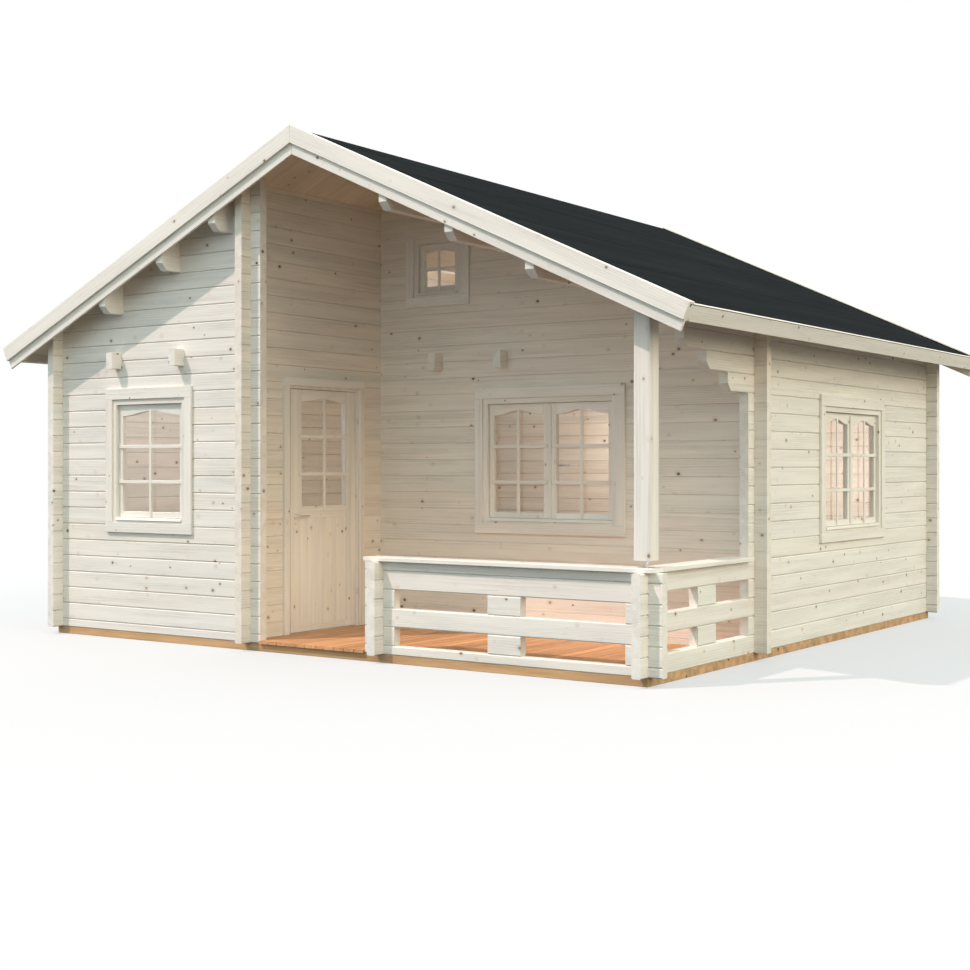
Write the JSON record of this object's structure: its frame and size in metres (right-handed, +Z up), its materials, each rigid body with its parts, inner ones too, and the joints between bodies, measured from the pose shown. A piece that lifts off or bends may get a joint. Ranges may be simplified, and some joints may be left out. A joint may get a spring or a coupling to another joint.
{
  "type": "log cabin",
  "caption": "Gabled log cabin with a covered corner terrace, railing, corner post and a glazed door that swings open; logs are notched at the corners.",
  "frame": {"origin": "on the ground, below the ridge and half-way along the roof", "axes": "+X to the right seen from the terrace, +Y towards the back wall, +Z up"},
  "size_m": [6.594, 5.817, 3.9334],
  "materials": {
    "pine_logs": "whitewashed planed pine",
    "pine_boards": "whitewashed planed pine",
    "deck_boards": "bare orange-brown pine",
    "base_timber": "impregnated timber",
    "roof_felt": "mineral bitumen felt",
    "steel": "zinc plated",
    "glass": "clear"
  },
  "bodies": {
    "cabin": {"front_wall": "pine_logs", "recess_wall": "pine_logs", "back_wall": "pine_logs", "left_wall": "pine_logs", "right_wall": "pine_logs", "porch_wall_front": "pine_logs", "porch_wall_rear": "pine_logs", "porch_wall_over": "pine_logs", "base_beams": "base_timber", "room_floor": "pine_boards", "terrace_deck": "deck_boards", "front_railing": "pine_logs", "rail_blocks": "pine_logs", "rail_cap": "pine_boards", "post_foot": "steel", "corner_post": "pine_logs", "loft_beams": "pine_logs", "left_purlins": "pine_logs", "right_purlins": "pine_logs", "ridge_beam": "pine_logs", "left_roof_boards": "pine_boards", "right_roof_boards": "pine_boards", "left_roof_felt": "roof_felt", "right_roof_felt": "roof_felt", "front_verge": "pine_boards", "back_verge": "pine_boards", "fascias": "pine_boards", "front_window_frame": "pine_boards", "front_window_casing": "pine_boards", "recess_window_frame": "pine_boards", "recess_window_casing": "pine_boards", "right_window_frame": "pine_boards", "right_window_casing": "pine_boards", "gable_window_frame": "pine_boards", "gable_window_casing": "pine_boards", "window_glass": "glass", "door_frame": "pine_boards", "door_casing": "pine_boards", "hinge_pins": "steel"},
    "door": {"door_leaf": "pine_boards", "door_glass": "glass", "hinge_leaves": "steel", "door_handle": "steel"}
  },
  "joints": [
    {"name": "door_hinge", "type": "hinge", "parent": "cabin", "child": "door", "pos_m": [-0.60725, -1.42, 1], "axis": [0, 0, 1], "range_deg": [0, 100]}
  ]
}
